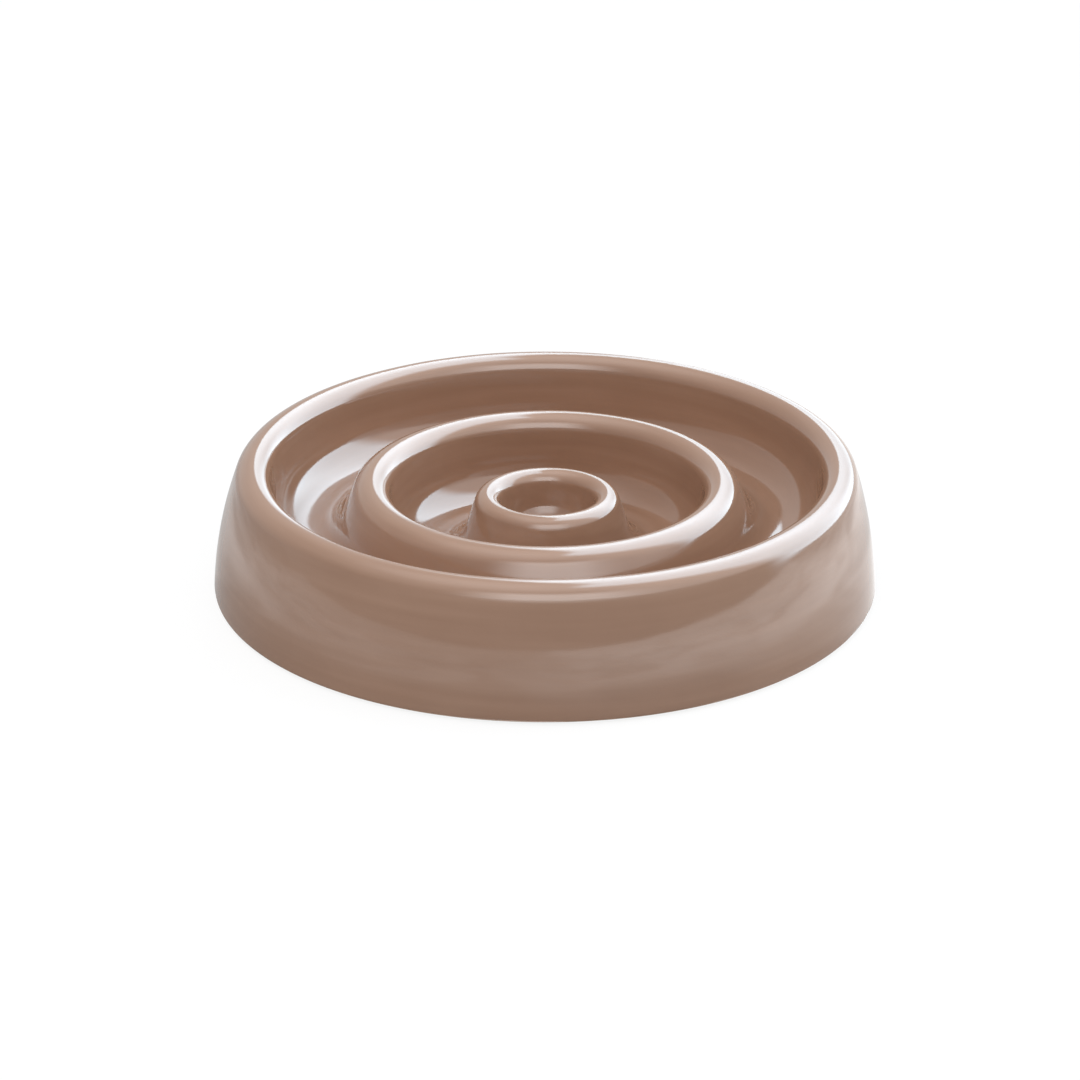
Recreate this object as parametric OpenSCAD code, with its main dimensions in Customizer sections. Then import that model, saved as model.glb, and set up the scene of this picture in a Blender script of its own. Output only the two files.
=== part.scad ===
// Slow feeder bowl: a glazed ceramic dish with two raised rings inside its rim,
// standing on four small silicone pads let into the foot ring.
// The origin is on the table below the middle of the bowl. Heights of the ceramic
// are measured from its own foot plane, which the pads hold clear of the table.

/* [Rim and skirt] */
// Diameter of the skirt where it meets the foot plane
base_d = 220; // [208:1:232]
// Diameter along the top of the rim
rim_d = 195; // [193:1:204]
// Height of the rim above the foot plane
rim_h = 42.4; // [38:0.2:47]
// Radius of the rounded top of the rim, seen in section
rim_r = 4.6; // [3.5:0.1:6]
// Lean of the wall inside the rim, in degrees from upright
rim_lean = 14; // [8:1:16]
// Radius of the skirt's outward bulge, seen in section
skirt_r = 140; // [100:5:300]

/* [Middle ring] */
// Diameter along the top of the middle ring
mid_d = 116.4; // [112:0.2:119]
// Height of the middle ring above the foot plane
mid_h = 36; // [31:0.2:39]
// Radius of the rounded top of the middle ring, seen in section
mid_r = 4.9; // [3.5:0.1:6]
// Lean of the side of the middle ring that faces the middle, in degrees from upright
mid_inner_lean = 6; // [3:1:12]
// Lean of the side of the middle ring that faces the rim, in degrees from upright
mid_outer_lean = 23; // [10:1:25]

/* [Centre ring] */
// Diameter along the top of the centre ring
centre_d = 40; // [36:0.2:45]
// Height of the centre ring above the foot plane
centre_h = 30.6; // [27:0.2:35]
// Radius of the rounded top of the centre ring, seen in section
centre_r = 4.3; // [3:0.1:5]
// Lean of the wall of the well, in degrees from upright
well_lean = 8; // [3:1:12]
// Lean of the outside of the centre ring, in degrees from upright
centre_outer_lean = 18; // [6:1:22]

/* [Troughs] */
// Height of the outer trough's floor above the foot plane
outer_floor_h = 17.4; // [15.6:0.1:19]
// Height of the inner trough's floor above the foot plane
inner_floor_h = 10.5; // [9:0.1:13]
// Height of the well's floor above the foot plane
well_floor_h = 13.4; // [9:0.1:16]
// Radius between the outer trough's floor and the wall inside the rim
rim_fillet_r = 13.5; // [8:0.5:15]
// Radius between the outer trough's floor and the middle ring
mid_outer_fillet_r = 9.5; // [5:0.5:11.5]
// Radius between the inner trough's floor and the middle ring
mid_inner_fillet_r = 12; // [7:0.5:14]
// Radius between the inner trough's floor and the centre ring
centre_fillet_r = 11; // [6:0.5:13]
// Radius between the well's floor and its wall
well_fillet_r = 9; // [3:0.5:12]

/* [Underside] */
// Thickness of the ceramic below the troughs
wall = 6; // [4.5:0.1:8]
// Width of the foot ring that stands on the pads
foot_w = 10; // [8:0.1:12]
// Radius along both edges of the foot ring
foot_edge_r = 1; // [0.4:0.1:1.4]
// Height to which the inner wall of the foot ring runs straight
foot_wall_h = 14; // [9:0.5:16]
// Draft of the inner wall of the foot ring, in degrees from upright
foot_draft = 3; // [1:0.5:5]
// Least radius at the top of the grooves below the two rings
groove_r = 2.5; // [1.5:0.1:4]

/* [Pads] */
// Diameter of a pad
pad_d = 6.4; // [5:0.1:6.8]
// Thickness of a pad
pad_t = 1.9; // [1.5:0.1:3]
// Depth of the recess that a pad is stuck in
pad_recess_h = 1; // [0.5:0.1:1.3]
// Clearance round a pad in its recess
pad_gap = 0.15; // [0.05:0.05:0.3]
// Radius along the lower edge of a pad
pad_edge_r = 0.4; // [0.2:0.1:0.6]
// Angle of the first pad round the bowl, in degrees from the right-hand side
pad_angle = 45; // [0:5:90]

/* [Hidden] */
pad_count = 4;
glaze_colour = [0.67, 0.55, 0.48];
silicone_colour = [0.82, 0.82, 0.80];
// Degrees between the points of a rounded stretch of the section
arc_step = 9;
// Degrees between the points of the skirt, whose curve is slight
skirt_step = 2;
// Overrun of a cut past the face it starts from
overrun = 0.5;
base_r = base_d / 2;
// How far the pads hold the foot plane above the table
foot_clear = pad_t - pad_recess_h;
// Circle on which the pads are centred
pad_circle_r = base_r - foot_w / 2;

// Centres of the rounded tops of the rim and the rings, as [radius, height]
rim_top = [rim_d / 2, rim_h - rim_r];
mid_top = [mid_d / 2, mid_h - mid_r];
centre_top = [centre_d / 2, centre_h - centre_r];

// Centres of the fillets at the foot of each wall
rim_fillet = fillet_centre(rim_top, rim_r, rim_lean, -1, outer_floor_h, rim_fillet_r);
mid_outer_fillet =
    fillet_centre(mid_top, mid_r, mid_outer_lean, 1, outer_floor_h, mid_outer_fillet_r);
mid_inner_fillet =
    fillet_centre(mid_top, mid_r, mid_inner_lean, -1, inner_floor_h, mid_inner_fillet_r);
centre_fillet =
    fillet_centre(centre_top, centre_r, centre_outer_lean, 1, inner_floor_h, centre_fillet_r);
well_fillet = fillet_centre(centre_top, centre_r, well_lean, -1, well_floor_h, well_fillet_r);

// The skirt is an arc that runs into the top of the rim and ends at the foot plane
foot_corner = [base_r, 0] - rim_top;
skirt_reach =
    (skirt_r ^ 2 - (skirt_r - rim_r) ^ 2 - norm(foot_corner) ^ 2) / (2 * (skirt_r - rim_r));
skirt_top_angle = atan2(foot_corner.y, foot_corner.x) + acos(skirt_reach / norm(foot_corner));
skirt_centre = rim_top - (skirt_r - rim_r) * ray(skirt_top_angle);
foot_edge = [
    skirt_centre.x + sqrt((skirt_r - foot_edge_r) ^ 2 - (foot_edge_r - skirt_centre.y) ^ 2),
    foot_edge_r
];
skirt_foot_angle = angle_of(foot_edge - skirt_centre);

// The inner wall of the foot ring, and the rounding that joins it to the outer trough
foot_inner = [base_r - foot_w, 0];
foot_wall_out = ray(180 + foot_draft);
foot_wall_top = foot_inner + foot_wall_h * ray(90 + foot_draft);
trough_to_wall = foot_wall_top - rim_fillet;
cavity_reach = rim_fillet_r + wall;
cavity_r =
    (norm(trough_to_wall) ^ 2 - cavity_reach ^ 2) / (2 * (cavity_reach - trough_to_wall * foot_wall_out));
cavity_top = foot_wall_top + cavity_r * foot_wall_out;
foot_inner_edge =
    [foot_inner.x + foot_edge_r * (1 - sin(foot_draft)) / cos(foot_draft), foot_edge_r];

// A step of length one in a direction
function ray(angle) = [cos(angle), sin(angle)];

// The direction of a step, in degrees
function angle_of(step) = atan2(step.y, step.x);

// Points along an arc, less its first point, which is the last of what comes before it
function arc(centre, radius, from, to, step = arc_step) =
    let (count = ceil(abs(to - from) / step))
    [for (i = [1:count]) centre + radius * ray(from + (to - from) * i / count)];

// The same with its first point, where a straight stretch leads up to it
function full_arc(centre, radius, from, to) =
    concat([centre + radius * ray(from)], arc(centre, radius, from, to));

// Centre of the fillet between a floor and the leaning side of a ring, where side is 1
// on the ring's outside and -1 on its inside
function fillet_centre(top, top_r, lean, side, floor_h, radius) =
    let (h = floor_h + radius)
    [top.x + side * (top_r + radius - (h - top.y) * sin(lean)) / cos(lean), h];

// The underside of a ring: from the trough or well inside it, over the groove that
// follows the ring, and down to the trough outside it
function groove_under(inner, inner_r, outer, outer_r) =
    let (
        span = norm(outer - inner),
        top_r = max(0, (span - inner_r - outer_r) / 2) + groove_r,
        inner_reach = inner_r + top_r,
        outer_reach = outer_r + top_r,
        along = (span ^ 2 + inner_reach ^ 2 - outer_reach ^ 2) / (2 * span),
        down = sqrt(inner_reach ^ 2 - along ^ 2),
        line = angle_of(outer - inner),
        top = inner + along * ray(line) + down * ray(line - 90),
        inner_angle = angle_of(top - inner),
        outer_angle = angle_of(outer - top)
    )
    concat(
        full_arc(inner, inner_r, -90, inner_angle),
        arc(top, top_r, inner_angle + 180, outer_angle),
        arc(outer, outer_r, outer_angle - 180, -90)
    );

// The underside, from the middle out to the foot ring
function underside() =
    let (rim_angle = angle_of(cavity_top - rim_fillet))
    concat(
        [[0, well_floor_h - wall]],
        groove_under(well_fillet, well_fillet_r + wall, centre_fillet, centre_fillet_r + wall),
        groove_under(
            mid_inner_fillet, mid_inner_fillet_r + wall, mid_outer_fillet, mid_outer_fillet_r + wall
        ),
        full_arc(rim_fillet, cavity_reach, -90, rim_angle),
        arc(cavity_top, cavity_r, rim_angle + 180, foot_draft),
        full_arc(foot_inner_edge, foot_edge_r, 180 + foot_draft, 270)
    );

// The outside, from the foot ring up the skirt and over the rim
function outside() =
    concat(
        full_arc(foot_edge, foot_edge_r, -90, skirt_foot_angle),
        arc(skirt_centre, skirt_r, skirt_foot_angle, skirt_top_angle, skirt_step),
        arc(rim_top, rim_r, skirt_top_angle, 180 - rim_lean)
    );

// One ring as food meets it, from the trough outside it to the trough or well inside it
function over_ring(outer, outer_r, outer_lean, top, top_r, inner, inner_r, inner_lean) =
    concat(
        full_arc(outer, outer_r, 270, 180 + outer_lean),
        full_arc(top, top_r, outer_lean, 180 - inner_lean),
        full_arc(inner, inner_r, -inner_lean, -90)
    );

// The troughs and rings, from inside the rim to the middle of the well
function inside() =
    concat(
        full_arc(rim_fillet, rim_fillet_r, -rim_lean, -90),
        over_ring(
            mid_outer_fillet, mid_outer_fillet_r, mid_outer_lean, mid_top, mid_r,
            mid_inner_fillet, mid_inner_fillet_r, mid_inner_lean
        ),
        over_ring(
            centre_fillet, centre_fillet_r, centre_outer_lean, centre_top, centre_r,
            well_fillet, well_fillet_r, well_lean
        ),
        [[0, well_floor_h]]
    );

// Puts a child at the place of one pad, on the table
module at_pad(index) {
    rotate(pad_angle + index * 360 / pad_count) translate([pad_circle_r, 0, 0]) children();
}

// The ceramic: one section turned about the axis, with the pads' recesses cut in its foot
module bowl_body() {
    color(glaze_colour)
    difference() {
        translate([0, 0, foot_clear])
        rotate_extrude($fn = 180)
        polygon(concat(underside(), outside(), inside()));
        for (index = [1:pad_count])
            at_pad(index)
            translate([0, 0, foot_clear - overrun])
            cylinder(h = pad_recess_h + overrun, d = pad_d + 2 * pad_gap, $fn = 48);
    }
}

// One silicone pad, stuck flat against the top of its recess
module foot_pad(index) {
    color(silicone_colour)
    at_pad(index)
    rotate_extrude($fn = 48)
    polygon(concat(
        [[0, 0]],
        full_arc([pad_d / 2 - pad_edge_r, pad_edge_r], pad_edge_r, -90, 0),
        [[pad_d / 2, pad_t], [0, pad_t]]
    ));
}

bowl_body();
foot_pad(1);  // foot_pad_1
foot_pad(2);  // foot_pad_2
foot_pad(3);  // foot_pad_3
foot_pad(4);  // foot_pad_4
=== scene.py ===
"""Slow feeder bowl: a glazed ceramic dish with two raised rings inside its rim, on silicone pads.

The dish is one turned section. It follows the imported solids, whose outer radius and gap below the
foot it reads, with rounder crests and slightly slumped troughs, as the photograph's highlights
show them. All lengths are in metres, with the axis of the rings along Z and the table at height 0.
"""

from __future__ import annotations

import logging
import math
from collections.abc import Iterable
from dataclasses import dataclass, field
from enum import Enum

import bmesh
import bpy
from mathutils import Matrix, Vector, noise


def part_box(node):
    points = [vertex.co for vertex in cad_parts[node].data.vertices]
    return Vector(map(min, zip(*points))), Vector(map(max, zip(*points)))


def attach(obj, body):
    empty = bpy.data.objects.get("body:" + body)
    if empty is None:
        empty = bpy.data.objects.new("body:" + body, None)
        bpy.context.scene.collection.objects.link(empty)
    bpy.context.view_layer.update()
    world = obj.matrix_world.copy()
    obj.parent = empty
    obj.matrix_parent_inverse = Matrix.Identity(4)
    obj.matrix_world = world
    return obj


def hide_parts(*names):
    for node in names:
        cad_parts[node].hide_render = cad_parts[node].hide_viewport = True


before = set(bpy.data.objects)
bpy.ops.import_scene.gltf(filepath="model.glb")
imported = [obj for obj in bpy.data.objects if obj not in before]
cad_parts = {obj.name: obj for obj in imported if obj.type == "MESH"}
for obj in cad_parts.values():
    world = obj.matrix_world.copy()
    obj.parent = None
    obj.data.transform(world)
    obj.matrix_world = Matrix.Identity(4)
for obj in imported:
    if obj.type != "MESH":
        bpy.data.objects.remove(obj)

LOG = logging.getLogger("slow_feeder_bowl")
MM = 0.001
BODY = "root"
TOUCHING = 0.01 * MM
Colour = tuple[float, float, float]
Point = tuple[float, float]
# Where a range starts and ends, and what its start and end become.
Ramp = tuple[float, float, float, float]
# Centre and radius of a bend of the section.
Bend = tuple[Vector, float]
Socket = bpy.types.NodeSocket


class Side(Enum):
    """Which side of a ring a wall or fillet lies on."""

    INNER = -1
    OUTER = 1


def srgb(red: int, green: int, blue: int) -> Colour:
    """Turns a colour of a screen, each part from 0 to 255, into a shader's linear values."""
    linear = [((value / 255 + 0.055) / 1.055) ** 2.4 for value in (red, green, blue)]
    return linear[0], linear[1], linear[2]


def along(angle: float) -> Vector:
    """Returns the step of length one in a direction of the section, given in degrees."""
    return Vector((math.cos(math.radians(angle)), math.sin(math.radians(angle))))


def angle_of(step: Vector) -> float:
    """Returns the direction of a step of the section, in degrees."""
    return math.degrees(math.atan2(step.y, step.x))


def new_object(name: str, data: bpy.types.ID) -> bpy.types.Object:
    """Adds an object to the scene.

    Args:
        name: Its name.
        data: Its mesh, light or camera.

    Returns:
        The object.
    """
    thing = bpy.data.objects.new(name, data)
    bpy.context.scene.collection.objects.link(thing)
    return thing


class NodeBoard:
    """Adds nodes to one shader tree and joins them."""

    def __init__(self, tree: bpy.types.NodeTree) -> None:
        """Keeps the tree and empties it."""
        self.tree = tree
        tree.nodes.clear()

    def add(self, kind: str, label: str = "", **settings: object) -> bpy.types.Node:
        """Adds one node.

        Args:
            kind: Blender's name of the node's type.
            label: Words shown on the node.
            **settings: Properties of the node to set.

        Returns:
            The node.
        """
        node = self.tree.nodes.new(kind)
        node.label = label
        for name, value in settings.items():
            setattr(node, name, value)
        return node

    def put(self, socket: Socket, value: object) -> None:
        """Sets an input to a value, or leads an output into it.

        Args:
            socket: The input.
            value: A number, a colour or an output.
        """
        if isinstance(value, Socket):
            self.tree.links.new(value, socket)
        else:
            socket.default_value = value

    def feed(self, node: bpy.types.Node, **inputs: object) -> None:
        """Sets or joins a node's inputs, by their names with underscores for spaces."""
        for name, value in inputs.items():
            self.put(node.inputs[name.replace("_", " ")], value)

    def maths(self, operation: str, *values: object) -> Socket:
        """Adds a Math node.

        Args:
            operation: Blender's name of the operation.
            *values: Numbers or sockets for its inputs, in order.

        Returns:
            The node's output.
        """
        node = self.add("ShaderNodeMath", operation=operation)
        for socket, value in zip(node.inputs, values):
            self.put(socket, value)
        return node.outputs[0]

    def product(self, first: Socket, *others: object) -> Socket:
        """Multiplies values.

        Args:
            first: The first value.
            *others: Numbers or sockets to multiply it by, in order.

        Returns:
            The product.
        """
        for value in others:
            first = self.maths("MULTIPLY", first, value)
        return first

    def split(self, vector: Socket) -> tuple[Socket, Socket, Socket]:
        """Splits a vector.

        Args:
            vector: The vector.

        Returns:
            Its X, Y and Z.
        """
        node = self.add("ShaderNodeSeparateXYZ")
        self.put(node.inputs[0], vector)
        return node.outputs["X"], node.outputs["Y"], node.outputs["Z"]

    def finish(self, kind: str, shader: bpy.types.Node) -> None:
        """Leads a shader to a new output node of a kind."""
        self.put(self.add(kind).inputs["Surface"], shader.outputs[0])

    def noise(
        self, where: Socket, scale: object, detail: float = 2.0, distortion: float = 0.0
    ) -> Socket:
        """Adds a noise texture.

        Args:
            where: The coordinates.
            scale: Repeats over a metre, as a number or a socket.
            detail: How many finer layers are added.
            distortion: How much the pattern is bent.

        Returns:
            The noise, from 0 to 1.
        """
        node = self.add("ShaderNodeTexNoise")
        self.feed(node, Vector=where, Scale=scale, Detail=detail, Distortion=distortion)
        return node.outputs["Fac"]

    def spread(
        self,
        value: Socket,
        low: object,
        high: float,
        to_low: object,
        to_high: object,
        soft: bool = False,
    ) -> Socket:
        """Maps a value from one range to another and holds it there.

        Args:
            value: The value.
            low: Start of its range, as a number or a socket.
            high: End of its range.
            to_low: What the start becomes, as a number or a socket.
            to_high: What the end becomes, as a number or a socket.
            soft: Whether it eases in and out.

        Returns:
            The mapped value.
        """
        course = "SMOOTHSTEP" if soft else "LINEAR"
        node = self.add("ShaderNodeMapRange", interpolation_type=course)
        self.feed(node, Value=value, From_Min=low, From_Max=high, To_Min=to_low, To_Max=to_high)
        return node.outputs["Result"]

    def ramps(self, value: Socket, first: Ramp, second: Ramp) -> Socket:
        """Adds up what two ramps make of a value."""
        return self.maths("ADD", self.spread(value, *first), self.spread(value, *second))

    def blend(self, factor: object, first: object, second: object) -> Socket:
        """Blends two colours.

        Args:
            factor: Share of the second colour.
            first: A colour or a socket.
            second: A colour or a socket.

        Returns:
            The blended colour.
        """
        # A Mix node has sockets for each kind of data: these are the ones for colours.
        node = self.add("ShaderNodeMix", data_type="RGBA")
        for index, value in ((0, factor), (6, first), (7, second)):
            value = (*value, 1.0) if isinstance(value, tuple) else value
            self.put(node.inputs[index], value)
        return node.outputs[2]

    def inside(self, *edges: tuple[Socket, Point]) -> Socket:
        """Marks where every value is past its edge, from where it starts to where it is full."""
        masks = [self.spread(value, *edge, 0.0, 1.0, soft=True) for value, edge in edges]
        return self.product(*masks)


class EffectGroup:
    """A shader node group, built once, that turns a place and some numbers into one value."""

    name = ""
    inputs: dict[str, float] = {}
    output = ""

    @classmethod
    def tree(cls) -> bpy.types.NodeTree:
        """Builds the group's tree on the first call.

        Returns:
            The tree.
        """
        found = bpy.data.node_groups.get(cls.name)
        if found:
            return found
        tree = bpy.data.node_groups.new(cls.name, "ShaderNodeTree")
        new_socket = tree.interface.new_socket
        new_socket("Place", in_out="INPUT", socket_type="NodeSocketVector")
        for label, default in cls.inputs.items():
            socket = new_socket(label, in_out="INPUT", socket_type="NodeSocketFloat")
            socket.default_value = default
        new_socket(cls.output, in_out="OUTPUT", socket_type="NodeSocketFloat")
        board = NodeBoard(tree)
        entry = board.add("NodeGroupInput")
        leave = board.add("NodeGroupOutput")
        board.put(leave.inputs[cls.output], cls.wire(board, entry))
        return tree

    @classmethod
    def wire(cls, board: NodeBoard, entry: bpy.types.Node) -> Socket:
        """Joins the group's nodes to its entry node and returns what the group puts out."""
        raise NotImplementedError

    @classmethod
    def at(cls, board: NodeBoard, place: Socket, **inputs: object) -> Socket:
        """Adds the group to a material.

        Args:
            board: The material's tree.
            place: The coordinates.
            **inputs: Values or sockets for the group's other inputs.

        Returns:
            The group's output.
        """
        node = board.add("ShaderNodeGroup", cls.name, node_tree=cls.tree())
        board.feed(node, Place=place, **inputs)
        return node.outputs[cls.output]


class Drift(EffectGroup):
    """Slow change from place to place, as in a dipped glaze or a moulded pad."""

    name = "drift"
    inputs = {"Patches": 30.0, "Amount": 1.0}
    output = "Change"
    finer = 4.3
    fine_share = 0.35

    @classmethod
    def wire(cls, board: NodeBoard, entry: bpy.types.Node) -> Socket:
        """Adds a broad and a finer noise about zero and scales their sum.

        Args:
            board: The group's tree.
            entry: The node that holds the group's inputs.

        Returns:
            The change from the even state.
        """
        place, patches = entry.outputs["Place"], entry.outputs["Patches"]
        broad = board.noise(place, patches, detail=1.5, distortion=0.6)
        fine = board.noise(place, board.product(patches, cls.finer), detail=2.5)
        both = board.maths("MULTIPLY_ADD", fine, cls.fine_share, broad)
        change = board.maths("SUBTRACT", both, 0.5 * (1 + cls.fine_share))
        return board.product(change, entry.outputs["Amount"])


class Ripple(EffectGroup):
    """Height of a surface that isn't quite even, for a Bump node."""

    name = "ripple"
    inputs = {"Waves": 80.0, "Fine": 0.2}
    output = "Height"
    finer = 5.0

    @classmethod
    def wire(cls, board: NodeBoard, entry: bpy.types.Node) -> Socket:
        """Adds a finer ripple to a broad one.

        Args:
            board: The group's tree.
            entry: The node that holds the group's inputs.

        Returns:
            The height.
        """
        place, waves = entry.outputs["Place"], entry.outputs["Waves"]
        broad = board.noise(place, waves, detail=0.5, distortion=0.3)
        fine = board.noise(place, board.product(waves, cls.finer), detail=1.0)
        return board.maths("MULTIPLY_ADD", fine, entry.outputs["Fine"], broad)


class TurningLines(EffectGroup):
    """Faint lines round the axis, as a turned or jiggered surface has."""

    name = "turning_lines"
    inputs = {"Closeness": 400.0, "Amount": 1.0}
    output = "Change"
    swing = 6 * MM
    least_radius = 1 * MM

    @classmethod
    def wire(cls, board: NodeBoard, entry: bpy.types.Node) -> Socket:
        """Stretches a noise round the axis, without a seam.

        Args:
            board: The group's tree.
            entry: The node that holds the group's inputs.

        Returns:
            The change from the even state.
        """
        across, back, up = board.split(entry.outputs["Place"])
        square = board.maths("MULTIPLY_ADD", across, across, board.product(back, back))
        radius = board.maths("SQRT", square)
        held = board.maths("MAXIMUM", radius, cls.least_radius)
        turned = [
            board.product(board.maths("DIVIDE", part, held), cls.swing)
            for part in (across, back)
        ]
        join = board.add("ShaderNodeCombineXYZ")
        board.feed(join, X=radius, Y=up, Z=turned[0])
        lines = board.add("ShaderNodeTexNoise", noise_dimensions="4D")
        board.feed(lines, Vector=join.outputs[0], W=turned[1], Scale=entry.outputs["Closeness"])
        middle = board.maths("SUBTRACT", lines.outputs["Fac"], 0.5)
        return board.product(middle, entry.outputs["Amount"])


class Specks(EffectGroup):
    """Small scattered dots, as of iron in a glaze or grit in clay."""

    name = "specks"
    inputs = {"Closeness": 400.0, "Size": 0.12, "Share": 0.2}
    output = "Mask"

    @classmethod
    def wire(cls, board: NodeBoard, entry: bpy.types.Node) -> Socket:
        """Keeps a share of the cells of a Voronoi pattern and puts a soft dot in each.

        Args:
            board: The group's tree.
            entry: The node that holds the group's inputs.

        Returns:
            1 at the middle of a dot, and 0 off the dots.
        """
        cells = board.add("ShaderNodeTexVoronoi")
        board.feed(cells, Vector=entry.outputs["Place"], Scale=entry.outputs["Closeness"])
        size = entry.outputs["Size"]
        dot = board.spread(cells.outputs["Distance"], size, 0.0, 0.0, 1.0, soft=True)
        pick = board.add("ShaderNodeSeparateColor")
        board.put(pick.inputs[0], cells.outputs["Color"])
        kept = board.maths("LESS_THAN", pick.outputs[0], entry.outputs["Share"])
        return board.product(dot, kept)


def new_material(name: str, shown: Colour) -> tuple[bpy.types.Material, NodeBoard]:
    """Starts a material.

    Args:
        name: Its name.
        shown: Colour in a plain view.

    Returns:
        The material and its tree.
    """
    material = bpy.data.materials.new(name)
    material.use_nodes = True
    material.diffuse_color = (*shown, 1.0)
    return material, NodeBoard(material.node_tree)


@dataclass(frozen=True)
class GlazeFinish:
    """Glossy coloured glaze over clay, with the foot ring wiped bare before firing."""

    colour: Colour = srgb(153, 119, 98)
    thin_colour: Colour = srgb(161, 127, 106)
    pooled_colour: Colour = srgb(146, 112, 91)
    clay_colour: Colour = srgb(214, 200, 180)
    roughness: float = 0.07
    clay_roughness: float = 0.85
    refraction: float = 1.52
    ripple_depth: float = 0.02 * MM
    iron_share: float = 0.35
    grit_share: float = 0.4
    clay_grain: float = 2.5
    bare_height: float = 0.55 * MM
    bare_wander: float = 0.5 * MM
    wander_closeness: float = 90.0
    bare_edge: float = 0.15 * MM

    def material(self, foot_height: float) -> bpy.types.Material:
        """Builds the material.

        Args:
            foot_height: Height of the foot plane above the table.

        Returns:
            The material. It reads the mesh's glaze_depth attribute.
        """
        material, board = new_material("taupe_glaze", self.colour)
        place = board.add("ShaderNodeTexCoord").outputs["Object"]
        depth = board.add("ShaderNodeAttribute", attribute_name="glaze_depth").outputs["Fac"]
        drift = Drift.at(board, place, Patches=26.0, Amount=0.9)
        lines = TurningLines.at(board, place, Closeness=230.0, Amount=2.6)
        depth = board.maths("ADD", board.maths("ADD", depth, drift), lines)
        thin = board.spread(depth, 0.0, -1.0, 0.0, 1.0)
        pooled = board.spread(depth, 0.0, 1.0, 0.0, 1.0)
        glaze = board.blend(thin, self.colour, self.thin_colour)
        glaze = board.blend(pooled, glaze, self.pooled_colour)
        iron = Specks.at(board, place, Closeness=260.0, Size=0.10, Share=0.05)
        iron = board.product(iron, self.iron_share)
        glaze = board.blend(iron, glaze, self.pooled_colour)

        bare = self.bare_mask(board, place, foot_height)
        grit = Specks.at(board, place, Closeness=900.0, Size=0.35, Share=0.3)
        clay_drift = Drift.at(board, place, Patches=120.0, Amount=0.5)
        worn = board.maths("ADD", board.product(grit, self.grit_share), clay_drift)
        clay = board.blend(worn, self.clay_colour, self.colour)
        colour = board.blend(bare, glaze, clay)

        ripple = Ripple.at(board, place, Waves=62.0, Fine=0.06)
        turned = TurningLines.at(board, place, Closeness=150.0, Amount=0.7)
        grain = Ripple.at(board, place, Waves=900.0, Fine=0.6)
        rough_clay = board.product(grain, bare, self.clay_grain)
        uneven = board.maths("ADD", board.maths("ADD", ripple, turned), rough_clay)
        height = board.product(uneven, self.ripple_depth)
        bump = board.add("ShaderNodeBump")
        board.feed(bump, Strength=1.0, Distance=1.0, Height=height)
        sheen_drift = Drift.at(board, place, Patches=45.0, Amount=0.02)
        gloss = board.maths("ADD", sheen_drift, self.roughness)
        rough = board.maths("MULTIPLY_ADD", bare, self.clay_roughness - self.roughness, gloss)

        surface = board.add("ShaderNodeBsdfPrincipled")
        board.feed(surface, Base_Color=colour, Roughness=rough, IOR=self.refraction)
        board.feed(surface, Normal=bump.outputs["Normal"])
        board.finish("ShaderNodeOutputMaterial", surface)
        return material

    def bare_mask(self, board: NodeBoard, place: Socket, foot_height: float) -> Socket:
        """Marks the clay that the glaze leaves bare.

        Args:
            board: The material's tree.
            place: The coordinates.
            foot_height: Height of the foot plane above the table.

        Returns:
            1 below a slightly wandering line just above the foot plane, and 0 elsewhere.
        """
        wander = board.noise(place, self.wander_closeness)
        line = board.maths("MULTIPLY_ADD", wander, self.bare_wander, foot_height)
        above = board.maths("SUBTRACT", board.split(place)[2], line)
        start = self.bare_height - self.bare_wander
        return board.spread(above, start, start + self.bare_edge, 1.0, 0.0)


@dataclass(frozen=True)
class SiliconeFinish:
    """Milky silicone with a matt moulded face."""

    colour: Colour = srgb(206, 205, 201)
    shade: Colour = srgb(184, 183, 178)
    roughness: float = 0.5
    refraction: float = 1.41
    dust_share: float = 0.8
    grain_strength: float = 0.5
    grain_depth: float = 0.01 * MM
    milkiness: float = 0.15
    milky_depth: float = 1.0 * MM

    def material(self) -> bpy.types.Material:
        """Builds the material.

        Returns:
            The material.
        """
        material, board = new_material("milky_silicone", self.colour)
        place = board.add("ShaderNodeTexCoord").outputs["Object"]
        drift = Drift.at(board, place, Patches=160.0, Amount=1.6)
        dust = Specks.at(board, place, Closeness=2400.0, Size=0.3, Share=0.12)
        worn = board.maths("MAXIMUM", drift, board.product(dust, self.dust_share))
        colour = board.blend(worn, self.colour, self.shade)
        sheen = Drift.at(board, place, Patches=300.0, Amount=0.2)
        rough = board.maths("ADD", sheen, self.roughness)
        grain = Ripple.at(board, place, Waves=2500.0, Fine=0.5)
        bump = board.add("ShaderNodeBump")
        board.feed(bump, Strength=self.grain_strength, Distance=self.grain_depth, Height=grain)
        surface = board.add("ShaderNodeBsdfPrincipled")
        board.feed(surface, Base_Color=colour, Roughness=rough, IOR=self.refraction)
        board.feed(surface, Subsurface_Weight=self.milkiness, Subsurface_Scale=self.milky_depth)
        board.feed(surface, Normal=bump.outputs["Normal"])
        board.finish("ShaderNodeOutputMaterial", surface)
        return material


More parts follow.
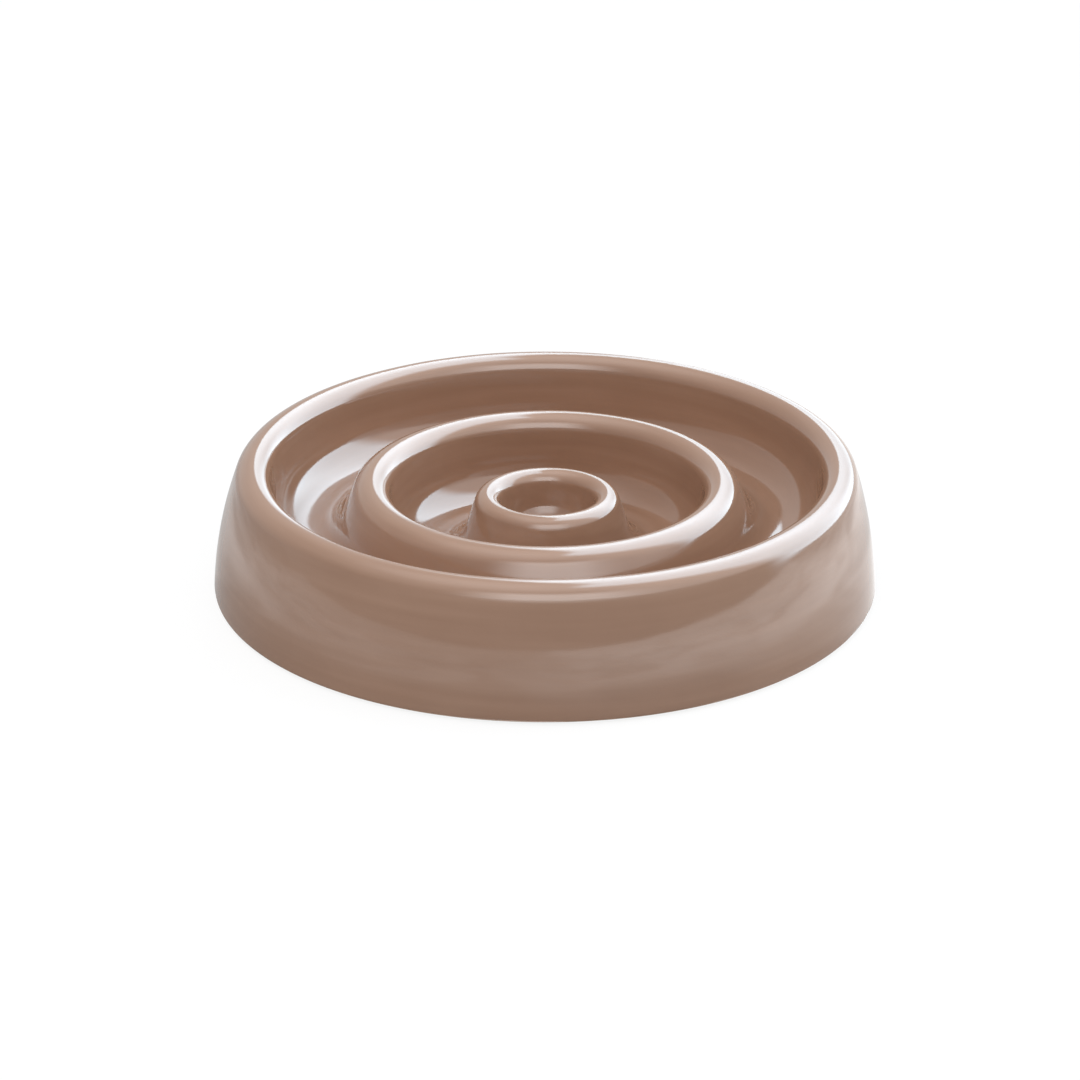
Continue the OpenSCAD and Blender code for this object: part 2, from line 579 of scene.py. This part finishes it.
@dataclass
class SectionPath:
    """Walks round the dish's section and keeps closely spaced points of it.

    No step is longer than the spacing, and none round an arc turns by more degrees than turn.
    """

    spacing: float = 1.2 * MM
    turn: float = 6.0
    points: list[Vector] = field(default_factory=list)
    depths: list[float] = field(default_factory=list)

    def to(self, point: Vector, depth: float = 0.0) -> None:
        """Goes straight to a point, in steps.

        Args:
            point: Where to.
            depth: How thick the glaze lies there, from -1 for thin to 1 for pooled.
        """
        if self.points:
            start, start_depth = self.points[-1], self.depths[-1]
            count = max(1, math.ceil((point - start).length / self.spacing))
            for index in range(1, count):
                share = index / count
                self.points.append(start.lerp(point, share))
                self.depths.append(start_depth + (depth - start_depth) * share)
        self.points.append(point)
        self.depths.append(depth)

    def arc(
        self,
        centre: Vector,
        radius: float,
        start: float,
        end: float,
        depth: float = 0.0,
        stretch: Point = (0.0, 1.0),
    ) -> None:
        """Goes to the start of an arc and along it.

        Args:
            centre: The arc's centre.
            radius: Its radius.
            start: Direction from the centre to its start, in degrees.
            end: Direction from the centre to its end, in degrees.
            depth: How thick the glaze lies at its middle.
            stretch: Which stretch of the glaze's change the arc has, from 0 to 1.
        """
        first = centre + radius * along(start)
        if not self.points or (self.points[-1] - first).length > TOUCHING:
            self.to(first)
        swing = abs(end - start)
        length = math.radians(swing) * radius
        steps = max(2, math.ceil(swing / self.turn), math.ceil(length / self.spacing))
        for index in range(1, steps + 1):
            share = index / steps
            self.points.append(centre + radius * along(start + (end - start) * share))
            reached = stretch[0] + (stretch[1] - stretch[0]) * share
            self.depths.append(depth * math.sin(math.pi * reached))


@dataclass(frozen=True)
class Crest:
    """The rounded top of the rim or of a ring, as the section shows it."""

    radius: float
    height: float
    inner_rounding: float
    outer_rounding: float
    inner_lean: float
    outer_lean: float = 0.0

    def rounding(self, side: Side) -> float:
        """Returns the radius of the rounding on one side."""
        return self.inner_rounding if side is Side.INNER else self.outer_rounding

    def centre(self, side: Side) -> Vector:
        """Returns the centre of the rounding on one side."""
        return Vector((self.radius, self.height - self.rounding(side)))

    def fillet(self, side: Side, floor: float, rounding: float) -> Vector:
        """Finds the centre of the fillet between a floor and one side of the ring.

        Args:
            side: The side.
            floor: Height of the floor.
            rounding: Radius of the fillet.

        Returns:
            The fillet's centre.
        """
        lean = math.radians(self.inner_lean if side is Side.INNER else self.outer_lean)
        height = floor + rounding
        rise = height - self.centre(side).y
        away = self.rounding(side) + rounding - rise * math.sin(lean)
        return Vector((self.radius + side.value * away / math.cos(lean), height))


@dataclass(frozen=True)
class Slump:
    """How a trough came out of the kiln: a little high on the right, and low at the back.

    The sag is deepest a turn in degrees past the back, to the left. The slump is full below the
    first height of reach and gone above the second.
    """

    lift: float
    sag: float
    turn: float
    reach: Point

    def at(self, height: float, angle: float) -> float:
        """Finds how much higher the trough lies at a place.

        Args:
            height: Height of the place on the section.
            angle: Where it is round the axis: 0 is on the right and a quarter turn at the back.

        Returns:
            The change of height, in metres.
        """
        low, high = self.reach
        hold = min(1.0, max(0.0, (high - height) / (high - low)))
        hold *= hold * (3 - 2 * hold)
        back = max(0.0, math.sin(angle - math.radians(self.turn)))
        return hold * (self.lift * (1 + math.cos(angle)) - self.sag * back**2)


@dataclass
class CeramicDish:
    """The glazed dish: one section turned about the axis, with a recess for each pad."""

    outer_radius: float
    foot_height: float
    pad_boxes: list[tuple[Vector, Vector]]
    rim: Crest = Crest(96.6 * MM, 42.4 * MM, 5.8 * MM, 6.3 * MM, 7.0)
    skirt_round: float = 140 * MM
    middle_ring: Crest = Crest(57.6 * MM, 36 * MM, 5.8 * MM, 6.8 * MM, 4.0, 23.0)
    centre_ring: Crest = Crest(20 * MM, 30.6 * MM, 4.3 * MM, 4.3 * MM, 8.0, 18.0)
    outer_floor: float = 17.4 * MM
    inner_floor: float = 10.5 * MM
    well_floor: float = 13.4 * MM
    rim_fillet: float = 13.1 * MM
    middle_outer_fillet: float = 9.5 * MM
    middle_inner_fillet: float = 12 * MM
    centre_fillet: float = 11 * MM
    well_fillet: float = 9 * MM
    wall: float = 6 * MM
    foot_width: float = 10 * MM
    foot_edge: float = 1 * MM
    foot_wall_height: float = 14 * MM
    foot_draft: float = 3.0
    groove_round: float = 2.5 * MM
    pad_clearance: float = 0.15 * MM
    pooled_depth: float = 0.8
    edge_depth: float = -0.3
    unevenness: float = 0.24 * MM
    unevenness_length: float = 45 * MM
    unevenness_finer: float = 2.6
    unevenness_shares: tuple[float, float, float] = (0.5, 0.34, 0.16)
    outer_slump: Slump = Slump(0.75 * MM, 3.75 * MM, 0.0, (24 * MM, 37 * MM))
    inner_slump: Slump = Slump(0.2 * MM, 1.2 * MM, 10.0, (16 * MM, 29 * MM))
    ring_offsets: tuple[Point, ...] = (
        (25 * MM, 0.8 * MM),
        (57 * MM, 0.65 * MM),
        (64 * MM, 0.3 * MM),
        (76 * MM, 0.3 * MM),
        (96 * MM, 0.6 * MM),
        (103 * MM, 0.45 * MM),
        (109 * MM, 0.0),
    )
    segments: int = 224
    recess_segments: int = 64
    recess_margin: float = 1 * MM
    finish: GlazeFinish = GlazeFinish()

    def section(self) -> SectionPath:
        """Walks the section from the middle of the underside to the middle of the well.

        Returns:
            The whole path.
        """
        path = SectionPath()
        self.walk_underside(path)
        self.walk_outside(path)
        self.walk_inside(path)
        return path

    def fillets(self) -> list[Bend]:
        """Finds the five fillets on top, from the well out to the rim.

        Returns:
            The fillets.
        """
        places = (
            (self.centre_ring, Side.INNER, self.well_floor, self.well_fillet),
            (self.centre_ring, Side.OUTER, self.inner_floor, self.centre_fillet),
            (self.middle_ring, Side.INNER, self.inner_floor, self.middle_inner_fillet),
            (self.middle_ring, Side.OUTER, self.outer_floor, self.middle_outer_fillet),
            (self.rim, Side.INNER, self.outer_floor, self.rim_fillet),
        )
        return [(ring.fillet(side, floor, size), size) for ring, side, floor, size in places]

    def walk_underside(self, path: SectionPath) -> None:
        """Walks the underside, from the middle out to the foot ring.

        Args:
            path: The path to add to.
        """
        wall = self.wall
        path.to(Vector((0.0, self.well_floor - wall)))
        bends = [(centre, size + wall) for centre, size in self.fillets()]
        self.walk_groove(path, bends[0], bends[1])
        self.walk_groove(path, bends[2], bends[3])
        rim, reach = bends[4]
        foot = Vector((self.outer_radius - self.foot_width, 0.0))
        facing = along(180 + self.foot_draft)
        wall_top = foot + self.foot_wall_height * along(90 + self.foot_draft)
        step = wall_top - rim
        rounding = (step.length_squared - reach**2) / (2 * (reach - step.dot(facing)))
        top = wall_top + rounding * facing
        turn = angle_of(top - rim)
        path.arc(rim, reach, -90, turn)
        path.arc(top, rounding, turn + 180, self.foot_draft)
        lean = math.radians(self.foot_draft)
        away = self.foot_edge * (1 - math.sin(lean)) / math.cos(lean)
        edge = Vector((foot.x + away, self.foot_edge))
        path.arc(edge, self.foot_edge, 180 + self.foot_draft, 270)

    def walk_groove(self, path: SectionPath, inside: Bend, outside: Bend) -> None:
        """Walks the underside of one ring, over the groove that follows it.

        Args:
            path: The path to add to.
            inside: The underside's bend below the fillet inside the ring.
            outside: The one below the fillet outside it.
        """
        (inner, inner_reach), (outer, outer_reach) = inside, outside
        span = (outer - inner).length
        rounding = max(0.0, (span - inner_reach - outer_reach) / 2) + self.groove_round
        near, far = inner_reach + rounding, outer_reach + rounding
        ahead = (span**2 + near**2 - far**2) / (2 * span)
        down = math.sqrt(near**2 - ahead**2)
        line = angle_of(outer - inner)
        top = inner + ahead * along(line) + down * along(line - 90)
        inner_turn, outer_turn = angle_of(top - inner), angle_of(outer - top)
        path.arc(inner, inner_reach, -90, inner_turn)
        path.arc(top, rounding, inner_turn + 180, outer_turn)
        path.arc(outer, outer_reach, outer_turn - 180, -90)

    def walk_outside(self, path: SectionPath) -> None:
        """Walks from the foot ring up the skirt and over the rim.

        Args:
            path: The path to add to.
        """
        bulge, rounding = self.skirt_round, self.rim.outer_rounding
        crest = self.rim.centre(Side.OUTER)
        corner = Vector((self.outer_radius, 0.0)) - crest
        reach = bulge**2 - (bulge - rounding) ** 2 - corner.length_squared
        reach /= 2 * (bulge - rounding)
        top_turn = angle_of(corner) + math.degrees(math.acos(reach / corner.length))
        centre = crest - (bulge - rounding) * along(top_turn)
        away = math.sqrt((bulge - self.foot_edge) ** 2 - (self.foot_edge - centre.y) ** 2)
        edge = Vector((centre.x + away, self.foot_edge))
        foot_turn = angle_of(edge - centre)
        path.arc(edge, self.foot_edge, -90, foot_turn, depth=self.edge_depth)
        path.arc(centre, bulge, foot_turn, top_turn)
        self.walk_crest(path, self.rim, top_turn)

    def walk_crest(self, path: SectionPath, ring: Crest, start: float) -> None:
        """Walks over the rim or a ring, from its outer side to its inner one.

        Args:
            path: The path to add to.
            ring: The rim or the ring.
            start: Direction from the rounding's centre to its start, in degrees.
        """
        outer, inner = ring.centre(Side.OUTER), ring.centre(Side.INNER)
        path.arc(outer, ring.outer_rounding, start, 90, depth=-1.0, stretch=(0.0, 0.5))
        end = 180 - ring.inner_lean
        path.arc(inner, ring.inner_rounding, 90, end, depth=-1.0, stretch=(0.5, 1.0))

    def walk_inside(self, path: SectionPath) -> None:
        """Walks from inside the rim over both rings to the middle of the well.

        Args:
            path: The path to add to.
        """
        well, centre, inner, outer, rim = self.fillets()
        pool = self.pooled_depth
        path.arc(*rim, -self.rim.inner_lean, -90, depth=pool)
        for ring, outside, inside in (
            (self.middle_ring, outer, inner),
            (self.centre_ring, centre, well),
        ):
            path.arc(*outside, 270, 180 + ring.outer_lean, depth=pool)
            self.walk_crest(path, ring, ring.outer_lean)
            path.arc(*inside, -ring.inner_lean, -90, depth=pool)
        path.to(Vector((0.0, self.well_floor)))

    def sink(self, place: Vector) -> float:
        """Finds how far the fired surface lies below the true one.

        Args:
            place: The place on the true surface.

        Returns:
            The depth, in metres.
        """
        apart = Vector((7.0, 3.0, 1.0))
        broad = noise.noise(place / self.unevenness_length)
        fine = noise.noise(place * self.unevenness_finer / self.unevenness_length + apart)
        mean, broad_share, fine_share = self.unevenness_shares
        return self.unevenness * (mean + broad_share * broad + fine_share * fine)

    def settle(self, point: Vector, angle: float) -> float:
        """Finds how much higher the surface came to lie at a place.

        Args:
            point: The place on the section, before the turn.
            angle: Where it is round the axis.

        Returns:
            The change of height in metres, which is 0 outside the two troughs.
        """
        if self.middle_ring.radius < point.x < self.rim.radius:
            return self.outer_slump.at(point.y, angle)
        if self.centre_ring.radius < point.x < self.middle_ring.radius:
            return self.inner_slump.at(point.y, angle)
        return 0.0

    def offset(self, radius: float) -> float:
        """Finds how far to the right of the foot ring's axis the bowl sits at a radius.

        Args:
            radius: The radius.

        Returns:
            The step to the right, in metres.
        """
        last_radius, last = self.ring_offsets[0]
        for next_radius, following in self.ring_offsets:
            if radius < next_radius:
                share = max(0.0, radius - last_radius) / max(next_radius - last_radius, MM)
                return last + (following - last) * share
            last_radius, last = next_radius, following
        return last

    def turned_mesh(self) -> bpy.types.Mesh:
        """Turns the section about the axis, a little uneven as a fired piece is.

        Returns:
            The mesh, with the glaze's depth at each vertex.
        """
        path = self.section()
        points, depths = path.points, path.depths
        normals = []
        for index, point in enumerate(points):
            before = points[max(0, index - 1)]
            after = points[min(len(points) - 1, index + 1)]
            step = (after - before).normalized()
            normals.append(Vector((step.y, -step.x)))
        vertices: list[Vector] = []
        values: list[float] = []
        rows: list[list[int]] = []
        top = max(range(len(points)), key=lambda index: points[index].y)
        edge = max(range(len(points)), key=lambda index: points[index].x)
        for step, (point, normal, depth) in enumerate(zip(points, normals, depths)):
            on_axis = point.x < TOUCHING
            row = []
            for index in range(1 if on_axis else self.segments):
                angle = 2 * math.pi * index / self.segments
                turn = Matrix.Rotation(angle, 3, "Z")
                place = turn @ Vector((point.x, 0.0, point.y + self.foot_height))
                on_foot = point.y < 0.5 * self.foot_edge
                if not (on_axis or on_foot):
                    out = turn @ Vector((normal.x, 0.0, normal.y))
                    place -= out * self.sink(place)
                if step > top:
                    place.z += self.settle(point, angle)
                if step > edge:
                    place.x += self.offset(point.x)
                row.append(len(vertices))
                vertices.append(place)
                values.append(depth)
            rows.append(row if len(row) > 1 else row * self.segments)
        faces = []
        for low, high in zip(rows, rows[1:]):
            for index in range(self.segments):
                after = (index + 1) % self.segments
                corners = (low[index], low[after], high[after], high[index])
                faces.append(tuple(dict.fromkeys(corners)))
        mesh = bpy.data.meshes.new("bowl_dish")
        mesh.from_pydata([tuple(v) for v in vertices], [], faces)
        attribute = mesh.attributes.new("glaze_depth", "FLOAT", "POINT")
        attribute.data.foreach_set("value", values)
        return mesh

    def cut_recesses(self, dish: bpy.types.Object) -> None:
        """Cuts the recess of each pad into the foot ring.

        Args:
            dish: The dish.
        """
        tools = bmesh.new()
        for low, high in self.pad_boxes:
            radius = (high.x - low.x) / 2 + self.pad_clearance
            floor = self.foot_height - self.recess_margin
            middle = Vector(((low.x + high.x) / 2, (low.y + high.y) / 2, (floor + high.z) / 2))
            bmesh.ops.create_cone(
                tools,
                cap_ends=True,
                segments=self.recess_segments,
                radius1=radius,
                radius2=radius,
                depth=high.z - floor,
                matrix=Matrix.Translation(middle),
            )
        mesh = bpy.data.meshes.new("recess_tools")
        tools.to_mesh(mesh)
        tools.free()
        cutter = new_object("recess_tools", mesh)
        cut = dish.modifiers.new("recesses", "BOOLEAN")
        cut.operation = "DIFFERENCE"
        cut.solver = "EXACT"
        cut.object = cutter
        graph = bpy.context.evaluated_depsgraph_get()
        finished = bpy.data.meshes.new_from_object(dish.evaluated_get(graph))
        dish.modifiers.remove(cut)
        bpy.data.objects.remove(cutter)
        dish.data = finished

    def smooth(self, mesh: bpy.types.Mesh, sharp: float = 40.0) -> None:
        """Shades the mesh smooth, apart from its sharp edges.

        Args:
            mesh: The mesh.
            sharp: Angle in degrees from which an edge stays sharp.
        """
        work = bmesh.new()
        work.from_mesh(mesh)
        for face in work.faces:
            face.smooth = True
        for edge in work.edges:
            edge.smooth = edge.is_manifold and edge.calc_face_angle(0.0) < math.radians(sharp)
        work.to_mesh(mesh)
        work.free()

    def build(self) -> None:
        """Builds and dresses the dish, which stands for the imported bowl_body."""
        dish = new_object("bowl_dish", self.turned_mesh())
        self.cut_recesses(dish)
        self.smooth(dish.data)
        dish.data.materials.clear()
        dish.data.materials.append(self.finish.material(self.foot_height))
        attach(dish, BODY)
        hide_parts("bowl_body")
        LOG.info("dish: %d faces", len(dish.data.polygons))


@dataclass
class FootPads:
    """The silicone pads in the foot ring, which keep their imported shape."""

    names: tuple[str, ...] = ("foot_pad_1", "foot_pad_2", "foot_pad_3", "foot_pad_4")
    finish: SiliconeFinish = SiliconeFinish()

    def boxes(self) -> list[tuple[Vector, Vector]]:
        """Returns the lowest and highest corner of each pad."""
        return [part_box(name) for name in self.names]

    def dress(self) -> None:
        """Gives each pad its finish."""
        material = self.finish.material()
        for name in self.names:
            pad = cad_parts[name]
            pad.data.materials.clear()
            pad.data.materials.append(material)
            LOG.info("pad: %s", name)


@dataclass(frozen=True)
class Panel:
    """A soft, evenly lit panel that faces the bowl, and that gloss doesn't mirror.

    Azimuth 0 is behind the bowl and 90 is on its right.
    """

    name: str
    azimuth: float
    elevation: float
    distance: float
    width: float
    height: float
    radiance: float

    def build(self) -> None:
        """Builds the panel as an area light."""
        light = bpy.data.lights.new(self.name, "AREA")
        light.shape = "RECTANGLE"
        light.size, light.size_y = self.width, self.height
        light.energy = self.radiance * math.pi * self.width * self.height
        panel = new_object(self.name, light)
        side, up = math.radians(self.azimuth), math.radians(self.elevation)
        flat = math.cos(up)
        away = Vector((math.sin(side) * flat, math.cos(side) * flat, math.sin(up)))
        panel.location = away * self.distance
        panel.rotation_mode = "QUATERNION"
        panel.rotation_quaternion = away.to_track_quat("Z", "Y")
        panel.visible_camera = False
        panel.visible_glossy = False


@dataclass(frozen=True)
class Patch:
    """A softly edged part of the room that glows, such as a window or a white screen.

    Angles are in degrees. Azimuth 0 is behind the bowl and 90 is on its right. Each edge is
    a pair: where it starts to show, and where it is full. The azimuths are counted from the
    patch's middle.
    """

    name: str
    middle: float
    left_edge: Point
    right_edge: Point
    lower_edge: Point
    upper_edge: Point
    radiance: float

    def paint(
        self, board: NodeBoard, azimuth: Socket, elevation: Socket, below: Socket
    ) -> Socket:
        """Lays the patch over the rest of the room.

        Args:
            board: The room's tree.
            azimuth: Azimuth of the direction looked in.
            elevation: Its elevation.
            below: What the room shows there without the patch.

        Returns:
            What the room shows with it.
        """
        side = board.maths("WRAP", board.maths("SUBTRACT", azimuth, self.middle), 180.0, -180.0)
        mask = board.inside(
            (side, self.left_edge),
            (board.product(side, -1.0), self.right_edge),
            (elevation, self.lower_edge),
            (board.product(elevation, -1.0), self.upper_edge),
        )
        return board.blend(mask, below, (self.radiance,) * 3)


@dataclass(frozen=True)
class Window:
    """A tall window behind the bowl on its right, which reaches over it.

    Its upright edges lie at steps of the direction looked in: to the right for the left edge,
    and to the back for the near edge. It is dimmer towards the sill.
    """

    left_edge: Point = (-0.055, 0.015)
    low_lean: Ramp = (12.0, 25.0, 0.065, 0.0)
    high_lean: Ramp = (42.0, 70.0, 0.0, 0.11)
    near_edge: Point = (-0.15, 0.12)
    sill: Point = (-2.0, 4.0)
    dim: Ramp = (0.35, 0.7, 3.6, 8.0)
    bright: float = 9.0
    rise: Point = (14.0, 42.0)
    colour: Colour = (0.77, 0.93, 1.04)

    def paint(
        self, board: NodeBoard, across: Socket, back: Socket, elevation: Socket, below: Socket
    ) -> Socket:
        """Lays the window over the rest of the room.

        Args:
            board: The room's tree.
            across: How far to the right the direction goes.
            back: How far to the back it goes.
            elevation: Its elevation.
            below: What the room shows there without the window.

        Returns:
            What the room shows with it.
        """
        lean = board.ramps(elevation, self.low_lean, self.high_lean)
        side = (board.maths("SUBTRACT", across, lean), self.left_edge)
        mask = board.inside(side, (back, self.near_edge), (elevation, self.sill))
        low = board.spread(across, *self.dim, soft=True)
        level = board.spread(elevation, *self.rise, low, self.bright, soft=True)
        glow = board.add("ShaderNodeVectorMath", operation="SCALE")
        board.feed(glow, Vector=self.colour, Scale=level)
        return board.blend(mask, below, glow.outputs[0])


@dataclass(frozen=True)
class Room:
    """The room round the table: white to the camera, and soft light to the bowl.

    Its radiances are those that gloss mirrors. As light it is dimmer by light_share.
    """

    light_share: float = 0.16
    low_rise: Ramp = (20.0, 60.0, 0.0, 0.8)
    high_rise: Ramp = (55.0, 80.0, 0.7, 2.0)
    patches: tuple[Patch, ...] = (
        Patch("dim_left", -45, (-75, -15), (-75, -15), (-90, -89), (-60, -40), 0.9),
        Patch("right_screen", 112, (-52, -17), (-53, -23), (8, 24), (-90, -60), 2.6),
        Patch("front_screen", 175, (-45, -12), (-45, -12), (12, 19), (-60, -40), 5.6),
    )
    window: Window = Window()

    def build(self) -> None:
        """Builds the room as the scene's world."""
        world = bpy.data.worlds.new("room")
        world.use_nodes = True
        bpy.context.scene.world = world
        board = NodeBoard(world.node_tree)
        across, back, up = board.split(board.add("ShaderNodeTexCoord").outputs["Generated"])
        azimuth = board.maths("DEGREES", board.maths("ARCTAN2", across, back))
        elevation = board.maths("DEGREES", board.maths("ARCSINE", up))
        shown = board.ramps(elevation, self.low_rise, self.high_rise)
        for patch in self.patches:
            shown = patch.paint(board, azimuth, elevation, shown)
            LOG.info("room: %s", patch.name)
        shown = self.window.paint(board, across, back, elevation, shown)
        ray = board.add("ShaderNodeLightPath")
        seen, mirrored = ray.outputs["Is Camera Ray"], ray.outputs["Is Glossy Ray"]
        level = board.maths("MAXIMUM", board.maths("ADD", seen, mirrored), self.light_share)
        glow = board.add("ShaderNodeBackground")
        board.feed(glow, Color=board.blend(seen, shown, (1.0, 1.0, 1.0)), Strength=level)
        board.finish("ShaderNodeOutputWorld", glow)


@dataclass
class Studio:
    """Pale table, soft light and the camera."""

    foot_height: float
    camera_elevation: float = 24.43
    camera_distance: float = 1.32
    camera_reach: Point = (0.05, 20.0)
    focal_length: float = 131.97
    sensor_width: float = 36.0
    frame_pixels: float = 1080.0
    origin_pixel: Point = (544.9, 575.9)
    floor_colour: Colour = srgb(203, 202, 200)
    floor_radius: float = 3.0
    shadow_share: float = 0.14
    # To glossy rays the table shows a dark colour and a painted glow, which is painted reflection:
    # brighter to the right, dimmer behind and uneven in patches.
    mirrored_colour: Colour = (0.15, 0.15, 0.15)
    painted_reflection_across: Ramp = (-0.1, 0.2, 1.15, 2.35)
    painted_reflection_back: Ramp = (0.0, 0.12, 1.0, 0.5)
    # Painted shadow: the reflected glow fades near the bowl.
    painted_reflection_shadow: Ramp = (0.12, 0.19, 0.45, 1.0)
    painted_reflection_patch_closeness: float = 14.0
    painted_reflection_patches: Ramp = (0.35, 0.65, 0.82, 1.14)
    room: Room = Room()
    panels: tuple[Panel, ...] = (
        Panel("fill_panel", -150, 38, 1.5, 1.6, 1.4, 1.22),
        Panel("ceiling_panel", -60, 75, 1.6, 1.6, 1.6, 1.7),
        Panel("window_panel", 82, 27, 1.6, 1.4, 1.2, 1.6),
    )

    def build(self) -> None:
        """Builds the whole studio."""
        self.add_camera()
        self.add_floor()
        self.room.build()
        for panel in self.panels:
            panel.build()
            LOG.info("light: %s", panel.name)
        bpy.context.scene.view_settings.view_transform = "Standard"

    def add_camera(self) -> None:
        """Adds the camera at the photograph's angle."""
        data = bpy.data.cameras.new("camera")
        data.lens = self.focal_length
        data.sensor_width = self.sensor_width
        data.clip_start, data.clip_end = self.camera_reach
        camera = new_object("camera", data)
        up_angle = math.radians(self.camera_elevation)
        back = Vector((0.0, -math.cos(up_angle), math.sin(up_angle)))
        up = Vector((0.0, math.sin(up_angle), math.cos(up_angle)))
        stand = Vector((0.0, 0.0, self.foot_height))
        width = self.camera_distance * self.sensor_width / self.focal_length
        per_pixel = width / self.frame_pixels
        middle = self.frame_pixels / 2
        right = Vector((1.0, 0.0, 0.0))
        aim = stand + right * (middle - self.origin_pixel[0]) * per_pixel
        aim = aim + up * (self.origin_pixel[1] - middle) * per_pixel
        camera.location = stand + back * self.camera_distance
        camera.rotation_mode = "QUATERNION"
        camera.rotation_quaternion = (aim - camera.location).to_track_quat("-Z", "Y")
        bpy.context.scene.camera = camera

    def add_floor(self) -> None:
        """Adds the table, which the camera sees as white with a faint shadow. To glossy rays it
        glows with painted light, as a painted reflection of the room.
        """
        work = bmesh.new()
        bmesh.ops.create_circle(work, cap_ends=True, segments=96, radius=self.floor_radius)
        mesh = bpy.data.meshes.new("table")
        work.to_mesh(mesh)
        work.free()
        table = new_object("table", mesh)
        material, board = new_material("pale_table", self.floor_colour)
        ray = board.add("ShaderNodeLightPath")
        seen, mirrored = ray.outputs["Is Camera Ray"], ray.outputs["Is Glossy Ray"]
        share = self.shadow_share
        plain = board.blend(mirrored, self.floor_colour, self.mirrored_colour)
        base = board.blend(seen, plain, (share,) * 3)
        surface = board.add("ShaderNodeBsdfPrincipled")
        board.feed(surface, Base_Color=base, Roughness=0.9, Specular_IOR_Level=0.0)
        place = board.add("ShaderNodeTexCoord").outputs["Object"]
        across, back, _ = board.split(place)
        # Painted reflection: a glow seen by glossy rays only, brighter to the right and dimmer
        # behind the bowl.
        glow = board.spread(across, *self.painted_reflection_across, soft=True)
        behind = board.spread(back, *self.painted_reflection_back, soft=True)
        # Painted reflection in patches: noise makes the painted glow uneven.
        painted_reflection_patches = board.noise(place, self.painted_reflection_patch_closeness, detail=1.0, distortion=0.8)
        level = board.spread(painted_reflection_patches, *self.painted_reflection_patches, soft=True)
        # Painted shadow: the painted glow fades towards the bowl's foot.
        away = board.add("ShaderNodeVectorMath", operation="LENGTH")
        board.put(away.inputs[0], place)
        near = board.spread(away.outputs["Value"], *self.painted_reflection_shadow, soft=True)
        glow = board.product(glow, level, behind, near)
        white = board.product(seen, 1.0 - share)
        shine = board.add("ShaderNodeEmission")
        board.feed(shine, Strength=board.maths("MULTIPLY_ADD", mirrored, glow, white))
        both = board.add("ShaderNodeAddShader")
        board.put(both.inputs[0], surface.outputs[0])
        board.put(both.inputs[1], shine.outputs[0])
        board.finish("ShaderNodeOutputMaterial", both)
        material.cycles.emission_sampling = "NONE"
        mesh.materials.append(material)


def main() -> None:
    """Builds the bowl on its pads, and then the studio round it."""
    logging.basicConfig(level=logging.INFO)
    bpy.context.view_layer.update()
    low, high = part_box("bowl_body")
    pads = FootPads()
    dish = CeramicDish(
        outer_radius=(high.x - low.x) / 2,
        foot_height=low.z,
        pad_boxes=pads.boxes(),
    )
    dish.build()
    pads.dress()
    Studio(foot_height=low.z).build()


if __name__ == "__main__":
    main()
